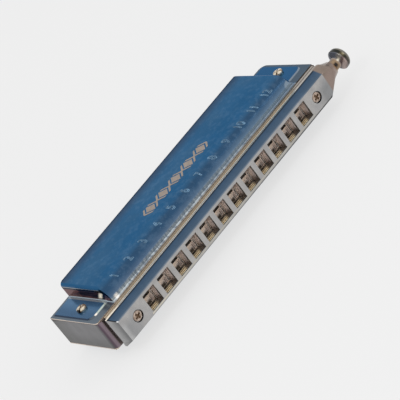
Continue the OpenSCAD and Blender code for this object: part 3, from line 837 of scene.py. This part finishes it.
# %% Cover grid
def cover_mesh(crown_rise, turn):
    """A cover; turn is 1 for the top and -1 for the bottom."""
    height = crown_rise - SHEET
    left_end, right_end = wall_profile(height, END_R, FOOT_R), wall_profile(height, RIGHT_R, FOOT_R)
    front = wall_profile(height, ROLL_R, FOOT_R, 18)
    rows = [(y, 0) for y in np.linspace(COMB_Y + FLANGE_FRONT, CROWN_FOOT - FOOT_R, 3)[:-1]]
    rows += [(CROWN_FOOT - d, h) for d, h in front]
    rows += [(y, height) for y in np.linspace(CROWN_FOOT + ROLL_R, REAR_Y - REAR_R, 70)[1:]]
    rows += [(REAR_Y - REAR_R * (1 - sin(radians(a))), height) for a in range(9, 91, 9)]
    ear = 40
    columns = [("left", k / ear, 0) for k in range(ear)]
    columns += [("wall", CROWN_LEFT - d, h) for d, h in left_end]
    level_columns = np.linspace(CROWN_LEFT + END_R, CROWN_RIGHT - RIGHT_R, 32)[1:-1]
    columns += [("wall", x, height) for x in level_columns]
    columns += [("wall", CROWN_RIGHT + d + RIGHT_LEAN * (1 - h / CROWN_H), h) for d, h in reversed(right_end)]
    columns += [("right", 1 - (k + 1) / ear, 0) for k in range(ear)]
    points, faces = [], []
    for y, row_h in rows:
        for kind, value, column_h in columns:
            x = value
            if kind == "left":
                x = ear_edge(-1, y) * (1 - value) + (CROWN_LEFT - FOOT_R) * value
            if kind == "right":
                x = ear_edge(1, y) * (1 - value) + (CROWN_RIGHT + RIGHT_LEAN + FOOT_R) * value
            if kind == "wall":
                x += rear_inset(x, y)
            rise = min(row_h, column_h)
            rise += ear_rise(x, y) * (1 - rise / height)
            points.append((x, y, turn * (FLANGE_TOP + rise)))
    wide = len(columns)
    for r in range(len(rows) - 1):
        for c in range(wide - 1):
            a = r * wide + c
            quad = (a, a + 1, a + wide + 1, a + wide)
            faces.append(quad if turn > 0 else quad[::-1])
    sheet = placed("sheet", mesh_from(points, faces))
    thick = sheet.modifiers.new("thick", "SOLIDIFY")
    thick.thickness, thick.offset = SHEET * MM, -1
    pressed = baked(sheet)
    top = COMB_TOP + crown_rise
    lip = block_mesh((CROWN_LEFT + 5, REAR_Y - SHEET, turn * (top - 0.1)),
                     (CROWN_RIGHT - 5, REAR_Y, turn * (top - REAR_LIP)))
    return joined([pressed, carve(lip, bevel=0.08)])


for side, crown_rise, turn in (("top", TOP_RISE, 1), ("bottom", BOTTOM_RISE, -1)):
    solid(side + "_cover_shell", cover_mesh(crown_rise, turn), "cover_metal", stands_for=[side + "_cover"])

# %% [markdown]
# ## The mouthpiece
# The mouthpiece is a bar with a flat lip face between two long bevels, and a nose that runs out
# to the round collar around the button's stem. Its lower edge rises a little to the left, and
# the lower right corner is trimmed. Every part is convex, so each is the hull of a few points.
# The holes and recesses are cut, and one small bevel takes the sharpness off every edge.

# %% Mouthpiece
BASE_LEFT, BASE_RIGHT, LOW_LEFT, LOW_RIGHT, LOW_TRIM = -72.05, 73.3, 5.22, 5.65, 1.8
FACE_H, BASE_H, BEVEL_Y, MOUTH_Y = 5.1, 7.2, 4.1, 5.2
SHOULDER_X, SHOULDER_H = 74.5, 6.9
WAIST_X, WAIST_R, WAIST_Z, COLLAR = COMB_X + 2.2, 4.5, 0.5, 0.8
NOSE_X, NOSE_R, BORE_R, BORE_LONG = 79.9, 3.3, 2.65, 9.5
HOLE_W, HOLE_H, SEAT_R, SEAT_DEEP, EDGE_R = 7.1, 8, 2.6, 1.25, 0.22


def collar(x, z, radius):
    """Points of a short collar around the stem that ends at x."""
    return ring((x - COLLAR, AXIS_Y, z), radius, "x") + ring((x, AXIS_Y, z), radius, "x")


bar = [(LIP_LEFT, 0, -LOW_LEFT), (LIP_LEFT, 0, FACE_H),
       (LIP_RIGHT - LOW_TRIM, 0, -LOW_RIGHT), (LIP_RIGHT + 0.5, 0, FACE_H)]
bar += [(x, y, z) for y in (BEVEL_Y, MOUTH_Y) for z in (-BASE_H, BASE_H)
        for x in (BASE_LEFT, BASE_RIGHT - LOW_TRIM * (z < 0))]
shoulder = [p for p in bar if p[0] > 0] + [(SHOULDER_X, y, SHOULDER_H) for y in (BEVEL_Y, MOUTH_Y)]
waist, tip = collar(WAIST_X, WAIST_Z, WAIST_R), collar(NOSE_X, 0, NOSE_R)
nose = [hull_mesh(shoulder + waist), hull_mesh(waist + tip)]
barrel = drum_mesh((COMB_X + 0.1, AXIS_Y, 0), (NOSE_X, AXIS_Y, 0), NOSE_R, "x")
cuts = [block_mesh((hole_x(i) - HOLE_W / 2, -1, -HOLE_H / 2),
                   (hole_x(i) + HOLE_W / 2, MOUTH_Y + 1, HOLE_H / 2)) for i in range(HOLES)]
cuts += [drum_mesh((x, -1, 0), (x, SEAT_DEEP, 0), SEAT_R, "y") for x in (-SCREW_X, SCREW_X)]
cuts += [drum_mesh((NOSE_X - BORE_LONG, AXIS_Y, 0), (NOSE_X + 1, AXIS_Y, 0), BORE_R, "x")]
mouth = carve(hull_mesh(bar), add=[*nose, barrel], cut=cuts, bevel=EDGE_R)
solid("mouthpiece_body", mouth, "mouthpiece_metal", stands_for=["mouthpiece"])

# %% [markdown]
# ## The button
# The button is turned, so its half profile swept once around the axis gives the whole shape.
# The underside is hollowed towards the stem like a trumpet's bell, and the outer face is domed
# to suit a finger.

# %% Button
STEM_R, STEM_END, HEAD_X, HEAD_R, BUTTON_END = 2.6, 77.7, 84.25, 5, 88.75
BELL_START, BELL_LONG, BELL_WIDE, RIM_R, RIM_END = HEAD_X - 0.3, 0.65, 2.2, 0.22, HEAD_X + 1.7


def skin(points, sides):
    """A closed tube over rings of points, with flat ends and its faces outward."""
    rings, faces = len(points) // sides, []
    for r in range(rings - 1):
        for c in range(sides):
            a, b = r * sides + c, r * sides + (c + 1) % sides
            faces.append((a, b, b + sides, a + sides))
    faces.append(tuple(reversed(range(sides))))
    faces.append(tuple(range((rings - 1) * sides, rings * sides)))
    mesh, work = mesh_from(points, faces), bmesh.new()
    work.from_mesh(mesh)
    bmesh.ops.recalc_face_normals(work, faces=work.faces)
    return filled(mesh, work)


def lathe(profile, sides):
    """A solid turned about the button's axis, from pairs of distance and radius."""
    points = []
    for along, radius in profile:
        points += ring((along, AXIS_Y, 0), max(radius, 1e-4), "x", sides)
    return skin(points, sides)


def button_profile():
    """Pairs of distance and radius: the stem, the bell, the rim and the dome."""
    pairs = [(STEM_END, STEM_R - 0.1), (STEM_END + 0.1, STEM_R), (BELL_START, STEM_R)]
    for t in np.linspace(0, pi / 2, 13)[1:]:
        pairs.append((BELL_START + BELL_LONG * (1 - cos(t)), STEM_R + BELL_WIDE * sin(t) ** 2))
    for t in np.linspace(0, pi / 2, 7)[1:]:
        pairs.append((HEAD_X + 0.6 - RIM_R * cos(t), HEAD_R - RIM_R + RIM_R * sin(t)))
    for t in np.linspace(0, pi / 2, 17):
        dome = max(0, cos(t)) ** 0.85
        pairs.append((RIM_END + (BUTTON_END - RIM_END) * sin(t), (HEAD_R - 0.03) * dome))
    return pairs


solid("button_turned", lathe(button_profile(), 64), "button_metal", body="slider",
      stands_for=["slide_button"], smooth=50)

# %% [markdown]
# ## The return spring
# One wire wound around the slide's tab pushes the button out.

# %% Return spring
WIRE_R, WIRE_SIDES, SPRING_TURNS, TURN_STEPS, TRAVEL, SEAT_GAP = 0.17, 8, 4, 28, 4, 0.07
spring_low, spring_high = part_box("return_spring")
SPRING_R = (spring_high.z - spring_low.z) / 2 / MM - WIRE_R


def coil_points(start, end):
    """Rings of points around a wire that winds about the button's axis."""
    points, rings = [], SPRING_TURNS * TURN_STEPS
    slant = atan2((end - start) / SPRING_TURNS, 2 * pi * SPRING_R)
    for k in range(rings + 1):
        a = 2 * pi * k / TURN_STEPS
        for s in range(WIRE_SIDES):
            b = 2 * pi * s / WIRE_SIDES
            out, up = SPRING_R + WIRE_R * cos(b), WIRE_R * sin(b)
            points.append((start + (end - start) * k / rings + up * cos(slant),
                           AXIS_Y + out * cos(a) + up * sin(slant) * sin(a),
                           out * sin(a) - up * sin(slant) * cos(a)))
    return points


low, high = [(corner.x - HOLE_ORIGIN.x) / MM for corner in (spring_low, spring_high)]
coil = skin(coil_points(low + WIRE_R, high - WIRE_R), WIRE_SIDES)
spring = solid("spring_coil", coil, "spring_wire", stands_for=["return_spring"], smooth=60)
seat = Vector((spring_low.x - SEAT_GAP * MM, 0, 0))
length = (spring_high.x - seat.x) / MM
(length - TRAVEL - SEAT_GAP) / length
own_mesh(spring)
print("spring", round(length, 2), "mm long at rest")

# %% [markdown]
# ## Screws
# A screw head is a low dome with one slot, or two that cross, cut into it. Each head and its
# plain shank make one piece, which stands in for the construction model's screws.

# %% Screw heads
def turned_head(axis, centre, radius, height, slots, reach, width, angle):
    """A low domed head seated on a point, with slots cut across it; axis is +z or -y."""
    dome = [(radius * c * cos(t), radius * c * sin(t), height * s)
            for c, s in ((1, 0), (1, 0.55), (0.94, 0.8), (0.8, 0.94), (0.5, 1))
            for t in np.linspace(0, 2 * pi, 40, endpoint=False)]
    tools = []
    for k in range(slots):
        turn = Matrix.Rotation(radians(angle + 90 * k), 4, "Z")
        tool = block_mesh((-reach, -width / 2, height * 0.4), (reach, width / 2, height * 2))
        tool.transform(Matrix.Translation(HOLE_ORIGIN) @ turn @ Matrix.Translation(-HOLE_ORIGIN))
        tools.append(tool)
    head = carve(hull_mesh(dome), cut=tools, bevel=0.05)
    turn = Matrix.Rotation(radians(90 if axis == "y" else 0), 4, "X")
    head.transform(Matrix.Translation(spot(*centre)) @ turn @ Matrix.Translation(-HOLE_ORIGIN))
    return head


COVER_SCREWS = [(-68.3, 24.25), (68.5, 24.25)]
PANEL_TOP, SHANK_R, SHANK_END = FLANGE_TOP + PANEL, 1.1, 15.4
heads = [turned_head("z", (x, y, PANEL_TOP), radius=2.2, height=1.3, slots=1, reach=3, width=0.6,
                     angle=35) for x, y in COVER_SCREWS]
shanks = [drum_mesh((x, y, -PANEL_TOP - 1.6), (x, y, PANEL_TOP + 0.2), SHANK_R, "z")
          for x, y in COVER_SCREWS]
solid("cover_screw_heads", joined(heads + shanks), "warm_screw", stands_for=["cover_screws"])

heads = [turned_head("y", (x, SEAT_DEEP, 0), radius=2.25, height=1.1, slots=2, reach=1.5, width=0.95,
                     angle=20) for x in (-SCREW_X, SCREW_X)]
shanks = [drum_mesh((x, 1, 0), (x, SHANK_END, 0), SHANK_R, "y") for x in (-SCREW_X, SCREW_X)]
solid("mouth_screw_heads", joined(heads + shanks), "warm_screw",
      stands_for=["mouthpiece_screws"], look="mouth_screw")

# %% [markdown]
# ## Trees that grow meshes
# What repeats is made by Geometry Nodes: one tree with named inputs takes the place of many
# copies. The helpers make an empty tree, end it with real faces that carry a material, merge
# geometries, and evaluate the tree with the inputs that a row needs.

# %% Geometry trees
def geometry_net(name, **inputs):
    """An empty geometry tree with one output and named inputs; a value's type is its socket's."""
    tree = bpy.data.node_groups.new(name, "GeometryNodeTree")
    tree.interface.new_socket("Geometry", in_out="OUTPUT", socket_type="NodeSocketGeometry")
    for label, value in inputs.items():
        kind = "NodeSocket" + type(value).__name__.capitalize()
        tree.interface.new_socket(label, in_out="INPUT", socket_type=kind).default_value = value
    net = Net(tree)
    entry = net.raw("NodeGroupInput")
    return net, {out.name: Sock(net, out) for out in entry.outputs if out.name}


def realised(net, geometry, material):
    """Ends a tree: instances become real and take a material."""
    real = net.geo("RealizeInstances", {0: geometry})
    done = net.geo("SetMaterial", {"Geometry": real, "Material": material})
    net.plug(net.raw("NodeGroupOutput").inputs[0], done)


def merged(net, *parts):
    """Several geometries as one."""
    join = net.raw("GeometryNodeJoinGeometry")
    for part in parts:
        net.plug(join.inputs[0], part)
    return Sock(net, join.outputs[0])


def grown(net, **values):
    """Evaluates a tree on an empty mesh and returns the plain mesh."""
    carrier = placed("carrier", bpy.data.meshes.new("work"))
    growth = carrier.modifiers.new("growth", "NODES")
    growth.node_group = net.tree
    for item in net.tree.interface.items_tree:
        if item.in_out == "INPUT" and item.name in values:
            growth[item.identifier] = values[item.name]
    return baked(carrier)


print("tree helpers ready")

# %% [markdown]
# ## The stamped numbers
# Twelve numbers stand over the twelve holes, on the roll of the top cover. A repeat zone
# turns the counter into text, keeps only the outline as a thin raised rail and moves it to its
# hole. The row is then laid on the roll's slope, and leans as the stamped ones do.

# %% Numbers
net, given = geometry_net("number_row", Count=HOLES, Pitch=PITCH * MM, Height=4.4 * MM,
                          Rail=0.12 * MM, Step=0.25 * MM)
entry = net.raw("GeometryNodeRepeatInput")
leave = net.raw("GeometryNodeRepeatOutput")
entry.pair_with_output(leave)
leave.repeat_items.clear()
leave.repeat_items.new("GEOMETRY", "Row")
net.plug(entry.inputs["Iterations"], given["Count"])
index = Sock(net, entry.outputs["Iteration"])
digits = net.node("FunctionNodeValueToString", {0: index + 1}, data_type="INT")
text = net.geo("StringToCurves", {"String": digits, "Size": given["Height"]},
               align_x="CENTER", align_y="MIDDLE")
real = net.geo("RealizeInstances", {0: text})
shift = net.vector((index - (given["Count"] - 1) / 2) * given["Pitch"], 0, 0)
even = net.geo("ResampleCurve", {"Curve": real, "Length": given["Step"]}, mode="LENGTH")
moved = net.geo("Transform", {"Geometry": even, "Translation": shift})
rail = net.geo("CurvePrimitiveCircle", {"Resolution": 8, "Radius": given["Rail"]})
thin = net.geo("CurveToMesh", {"Curve": moved, "Profile Curve": rail})
net.plug(leave.inputs["Row"], merged(net, thin, Sock(net, entry.outputs["Row"])))
realised(net, Sock(net, leave.outputs["Row"]), LOOKS["number_edge"])

numbers = grown(net)
NUMBER_Y, NUMBER_SHIFT, NUMBER_SLANT, SQUEEZE, PROUD = 11.9, -1.7, 0.5, 0.8, 0.04
PRINT_TOP, ROLL_MIDDLE = COMB_TOP + TOP_RISE + PROUD, CROWN_FOOT + ROLL_R
for vertex in numbers.vertices:
    across, along, lift = vertex.co / MM
    y, radius = NUMBER_Y + along * SQUEEZE, ROLL_R + lift * 0.4 + 0.02
    angle = pi / 2
    if y < ROLL_MIDDLE:
        angle = acos(min(1, (ROLL_MIDDLE - y) / ROLL_R))
        y = ROLL_MIDDLE - radius * cos(angle)
    z = PRINT_TOP - ROLL_R + radius * sin(angle)
    vertex.co = spot(across + NUMBER_SHIFT - NUMBER_SLANT * along, y, z)
solid("hole_numbers", numbers, "cover_metal", look="number_edge", smooth=60)

# %% [markdown]
# ## The ornament
# A printed band decorates the crown: five lozenges in a row, each between two chevrons. It is
# thin enough to read as print, and its pieces are flat prisms.

# %% Ornament
def prism(outline, low, high):
    """A flat prism from an outline in x and y."""
    n = len(outline)
    points = [(x, y, z) for z in (low, high) for x, y in outline]
    faces = [tuple(reversed(range(n))), tuple(range(n, 2 * n))]
    faces += [(k, (k + 1) % n, n + (k + 1) % n, n + k) for k in range(n)]
    return mesh_from(points, faces)


BAND_X, BAND_Y, BAND_STEP, BAND_DEEP = -1, 22.4, 8.6, 0.06
LOZENGE = ((2.6, 0), (0, 3.3), (-2.6, 0), (0, -3.3))
CHEVRON = ((0.9, 3.3), (1.9, 3.3), (4.3, 0.45), (4.3, -0.45), (1.9, -3.3), (0.9, -3.3), (3.45, 0))
prints = []
for k in range(-2, 3):
    for outline, side in ((LOZENGE, 1), (CHEVRON, -1), (CHEVRON, 1)):
        moved = [(BAND_X + BAND_STEP * k + side * px, BAND_Y + py) for px, py in outline]
        prints.append(prism(moved, PRINT_TOP - BAND_DEEP, PRINT_TOP))
solid("crown_ornament", joined(prints), "cover_metal", look="ornament_print")

# %% [markdown]
# ## Reeds and rivets
# The outer reeds show behind the covers. One tree lays a whole row: a line of points, one tongue
# stretched to each hole's length, and one pad at its root. With the input Heads it lays the
# rivet heads instead, so they can carry a finish of their own.

# %% Reed rows
REED_TIP, REED_X = 11.45, 2
net, given = geometry_net("reed_row", Count=HOLES, Pitch=PITCH, Long=17.5, Short=9.0, Tongue=2.2, Pad=2.8,
                          Heads=False)
across = net.vector(given["Pitch"], 0, 0)
line = net.geo("MeshLine", {"Count": given["Count"], "Offset": across})
number = net.geo("InputIndex")
length = given["Long"] - (given["Long"] - given["Short"]) * number / (given["Count"] - 1)
tongue = net.geo("MeshCube", {"Size": net.vector(given["Tongue"], 1, 0.2)})
tongue = net.geo("Transform", {"Geometry": tongue, "Translation": (0, 0.5, 0.1)})
stretch = net.vector(1, length, 1)
tongues = net.geo("InstanceOnPoints", {"Points": line, "Instance": tongue, "Scale": stretch})
pad = net.geo("MeshCube", {"Size": net.vector(given["Pad"], 3, 0.4)})
pad = net.geo("Transform", {"Geometry": pad, "Translation": (0, 1.5, 0.2)})
roots = net.geo("SetPosition", {"Geometry": line, "Offset": net.vector(0, length, 0)})
pads = net.geo("InstanceOnPoints", {"Points": roots, "Instance": pad})
head = net.geo("MeshUVSphere", {"Segments": 16, "Rings": 8, "Radius": 0.95})
head = net.geo("Transform", {"Geometry": head, "Translation": (0, 1.5, 0.4), "Scale": (1, 1, 0.26)})
rivets = net.geo("InstanceOnPoints", {"Points": roots, "Instance": head})
choice = {"Switch": given["Heads"], "False": merged(net, tongues, pads), "True": rivets}
realised(net, net.geo("Switch", choice, input_type="GEOMETRY"), LOOKS["reed_brass"])


def laid(mesh, turn):
    """Lays a grown row on a plate's face; turn is 1 for up and -1 for down."""
    for vertex in mesh.vertices:
        x, y, z = vertex.co
        vertex.co = spot(hole_x(0) + REED_X + x, REED_TIP + y, turn * (COMB_TOP + z))
    if turn < 0:
        mesh.flip_normals()
    return mesh


for side, turn in (("top", 1), ("bottom", -1)):
    solid(side + "_reed_row", laid(grown(net), turn), "reed_brass", stands_for=[side + "_draw_reeds"])
    solid(side + "_rivet_row", laid(grown(net, Heads=True), turn), "rivet_brass", smooth=60)

# %% [markdown]
# ## The table
# The photograph is a product picture on near white. The table is pale and partly lights itself,
# which keeps the shadow faint.

# %% Table
TABLE_Z, TABLE_HALF = -0.0001, 4
mesh = bpy.data.meshes.new("table")
corners = [(x * TABLE_HALF, y * TABLE_HALF, TABLE_Z) for x, y in ((-1, -1), (1, -1), (1, 1), (-1, 1))]
mesh.from_pydata(corners, [], [(0, 1, 2, 3)])
table = placed("table", mesh)
paper = bpy.data.materials.new("paper")
paper.use_nodes = True
shader = paper.node_tree.nodes["Principled BSDF"]
for key, value in {"Base Color": (0.16, 0.16, 0.16, 1), "Roughness": 0.9, "Specular IOR Level": 0,
                   "Emission Color": (1, 1, 1, 1), "Emission Strength": 0.68}.items():
    shader.inputs[key].default_value = value
table.data.materials.append(paper)
print("table", 2 * TABLE_HALF, "m wide")

# %% [markdown]
# ## The camera
# The camera was fitted to the photograph: the corners of the twelve holes gave its place, its
# focal length and its three directions, which are the columns of its matrix.

# %% Camera
RIGHT = (0.57991, -0.60456, -0.54609)
UP = (0.70248, 0.0316, 0.711)
BACK = (-0.41258, -0.79594, 0.44302)
EYE, LENS, SENSOR = (-381.617, -717.275, 410.875), 205.05, 36
camera = placed("camera", bpy.data.cameras.new("camera"))
camera.data.lens, camera.data.sensor_width = LENS, SENSOR
camera.data.clip_start, camera.data.clip_end = 0.05, 20
where = spot(*EYE)
camera.matrix_world = Matrix([(RIGHT[k], UP[k], BACK[k], where[k]) for k in range(3)] + [(0, 0, 0, 1)])
bpy.context.scene.camera = camera
print("camera at", [round(v, 3) for v in where])

# %% [markdown]
# ## The light
# The camera sees a plain white background, while polished metal mirrors one that is a little
# darker low down, which gives it depth. Two large soft lamps add the highlights.

# %% Light
SKY_LOW, SKY_RISE = 0.86, 0.2
world = bpy.data.worlds.new("studio")
bpy.context.scene.world = world
world.use_nodes = True
net = Net(world.node_tree)
net.tree.nodes.clear()
dx, dy, dz = net.split(net.node("ShaderNodeTexCoord", out="Generated"))
seen = net.raw("ShaderNodeLightPath")
mirror = Sock(net, seen.outputs["Is Glossy Ray"])
plain = Sock(net, seen.outputs["Is Camera Ray"]) + Sock(net, seen.outputs["Is Transmission Ray"])
level = 1 + mirror * (SKY_LOW + SKY_RISE * dz.smooth(0, 0.6) - 1)
strength = level.math("MAXIMUM", plain.math("MINIMUM", 1))
background = net.node("ShaderNodeBackground", {"Color": (1, 1, 1, 1), "Strength": strength})
net.plug(net.raw("ShaderNodeOutputWorld").inputs[0], background)


def lamp(name, place, target, size, power):
    """A soft square lamp aimed at a point."""
    light = bpy.data.lights.new(name, "AREA")
    light.shape, light.size, light.energy = "SQUARE", size, power
    holder = placed(name, light)
    aim = Vector(target) - Vector(place)
    holder.matrix_world = Matrix.Translation(place) @ aim.to_track_quat("-Z", "Y").to_matrix().to_4x4()


lamp("key", (-0.5, -0.35, 0.7), (0, 0, 0), 0.25, 1.6)
lamp("fill", (0.6, -0.5, 0.35), (0, 0, 0), 0.3, 0.8)
bpy.context.scene.view_settings.view_transform = "Standard"
print("lamps", len(bpy.data.lights))
